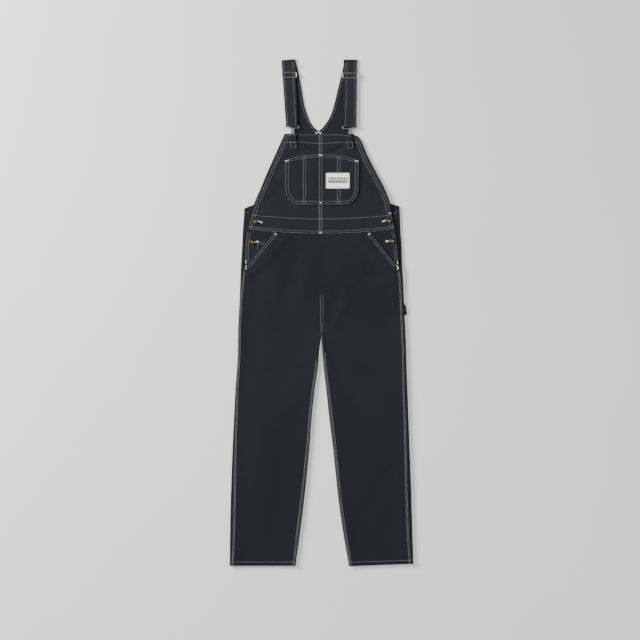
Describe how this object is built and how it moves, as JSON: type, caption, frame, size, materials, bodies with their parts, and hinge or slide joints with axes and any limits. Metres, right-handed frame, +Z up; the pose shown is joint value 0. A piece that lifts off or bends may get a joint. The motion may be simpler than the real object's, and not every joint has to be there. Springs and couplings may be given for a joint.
{
  "type": "bib overalls",
  "caption": "Dark canvas bib overalls laid flat, with contrast seams, bib pocket, slanted hand pockets, side buttons, strap sliders and hooks.",
  "frame": {"origin": "on the surface that the garment lies on, under the middle of its outline", "axes": "+X to the wearer's left, +Y from the hems to the shoulders, +Z up from the surface, out of the front of the garment"},
  "size_m": [0.569, 1.5718, 0.0085],
  "materials": {
    "canvas": "matt twill canvas, dark navy, with pale grey stitching",
    "label_cloth": "off-white woven label, plain",
    "nickel": "satin nickel",
    "bronze": "aged bronze"
  },
  "bodies": {
    "root": {"back_trouser_left": "canvas", "back_trouser_right": "canvas", "back_yoke": "canvas", "bib_label": "label_cloth", "bib_left": "canvas", "bib_pocket": "canvas", "bib_right": "canvas", "bib_tab_left": "canvas", "bib_tab_right": "canvas", "coin_pocket": "canvas", "front_trouser_left": "canvas", "front_trouser_right": "canvas", "hip_facing_left": "canvas", "hip_facing_right": "canvas", "shoulder_strap_left": "canvas", "shoulder_strap_right": "canvas", "side_button_left_lower": "bronze", "side_button_left_upper": "bronze", "side_button_right_lower": "bronze", "side_button_right_upper": "bronze", "side_placket_left": "canvas", "side_placket_right": "canvas", "strap_hook_left": "nickel", "strap_hook_right": "nickel", "strap_slider_left": "nickel", "strap_slider_right": "nickel", "tool_loop": "canvas"}
  },
  "joints": []
}
